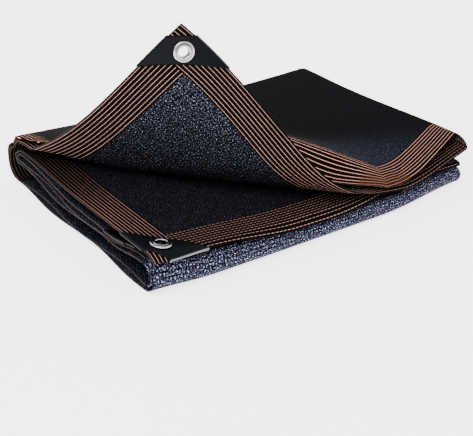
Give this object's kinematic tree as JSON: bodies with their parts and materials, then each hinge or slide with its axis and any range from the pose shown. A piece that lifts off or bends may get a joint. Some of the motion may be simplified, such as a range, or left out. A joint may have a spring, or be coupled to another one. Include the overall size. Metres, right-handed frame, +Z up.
{
  "type": "shade cloth",
  "caption": "Folded knitted shade cloth with a striped border, bound corner patches and metal eyelets, one corner lifted.",
  "frame": {"origin": "middle of the pack's outline, on the surface that it lies on", "axes": "+X along the pack's longer side towards its folded end, +Y towards the back turn, +Z up"},
  "size_m": [0.3719, 0.2995, 0.1882],
  "materials": {
    "knit": "matte knitted tape yarn, near black, with a border of rust and salmon stripes",
    "patch": "smooth satin black coated cloth",
    "nickel": "bright nickel plate"
  },
  "bodies": {
    "root": {"cloth": "knit", "patch_lifted": "patch", "patch_near": "patch", "patch_inner": "patch", "eyelet_lifted": "nickel", "eyelet_near": "nickel"}
  },
  "joints": []
}
